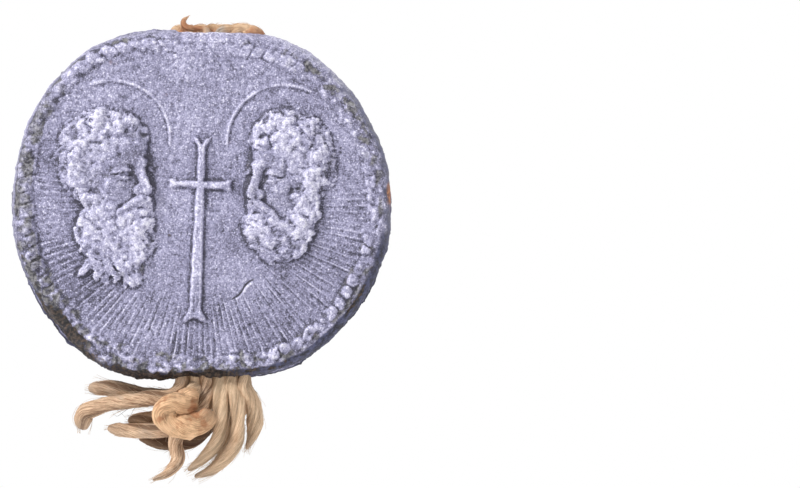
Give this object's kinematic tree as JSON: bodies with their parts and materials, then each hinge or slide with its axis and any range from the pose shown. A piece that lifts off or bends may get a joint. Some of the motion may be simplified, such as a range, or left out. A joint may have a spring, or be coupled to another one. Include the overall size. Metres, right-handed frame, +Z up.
{
  "type": "hanging lead seal",
  "caption": "Round double-sided lead seal struck over a flat bundle of hemp yarns, with cut yarn ends above and a loose splayed tassel below.",
  "frame": {"origin": "on the axis of the yarn channel, where the yarns leave the upper edge of the lead", "axes": "+X right and +Z up as seen from the front face with the two heads, +Y from the front face to the back face"},
  "size_m": [0.042, 0.0097, 0.0512],
  "materials": {
    "lead": "dull oxidised lead, granular, pale bloom on the raised parts",
    "hemp": "loosely twisted raw hemp"
  },
  "bodies": {
    "seal": {"lead_front": "lead", "lead_back": "lead", "yarn_01_held": "hemp", "yarn_02_held": "hemp", "yarn_03_held": "hemp", "yarn_04_held": "hemp", "yarn_05_held": "hemp", "yarn_06_held": "hemp", "yarn_07_held": "hemp", "yarn_08_held": "hemp", "yarn_09_held": "hemp", "yarn_10_held": "hemp", "yarn_11_held": "hemp", "yarn_12_held": "hemp"},
    "tassel": {"yarn_01_tail": "hemp", "yarn_02_tail": "hemp", "yarn_03_tail": "hemp", "yarn_04_tail": "hemp", "yarn_05_tail": "hemp", "yarn_06_tail": "hemp", "yarn_07_tail": "hemp", "yarn_08_tail": "hemp", "yarn_09_tail": "hemp", "yarn_10_tail": "hemp", "yarn_11_tail": "hemp", "yarn_12_tail": "hemp"}
  },
  "joints": [
    {"name": "tassel_swing", "type": "hinge", "parent": "seal", "child": "tassel", "pos_m": [0, 0, -0.03925], "axis": [1, 0, 0], "range_deg": [-30, 30], "stiffness_Nm_per_rad": 0.0001}
  ]
}
